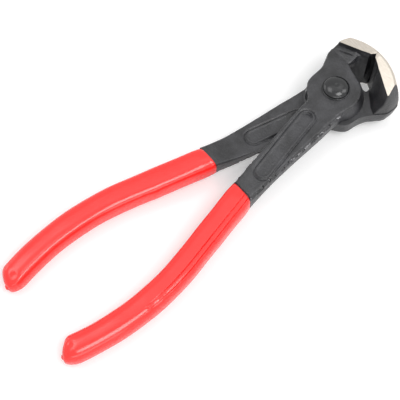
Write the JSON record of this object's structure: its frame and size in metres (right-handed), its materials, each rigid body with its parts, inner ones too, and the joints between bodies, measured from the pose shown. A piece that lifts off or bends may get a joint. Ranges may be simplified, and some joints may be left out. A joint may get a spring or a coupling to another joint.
{
  "type": "end cutting nippers",
  "caption": "Hand tool with two crossed forged levers on one rivet, closing a wide cutting edge across its end, with dipped plastic grips.",
  "frame": {"origin": "on the pivot axis, in the plane where the two levers lap", "axes": "+Z along the pivot axis towards the domed rivet head, +Y along the middle line towards the cutting edge, +X towards the front lever's handle"},
  "size_m": [0.0548, 0.179, 0.021],
  "materials": {
    "forged_steel": "black oxide over forged steel, ground bright on the jaw flanks",
    "rivet_steel": "black oxide, smooth",
    "grip_plastic": "glossy dipped vinyl"
  },
  "bodies": {
    "rear_half": {"rear_lever": "forged_steel", "rear_grip": "grip_plastic", "pivot_rivet": "rivet_steel"},
    "front_half": {"front_lever": "forged_steel", "front_grip": "grip_plastic"}
  },
  "joints": [
    {"name": "jaw_pivot", "type": "hinge", "parent": "rear_half", "child": "front_half", "pos_m": [0, 0, 0], "axis": [0, 0, 1], "range_deg": [0, 30]}
  ]
}
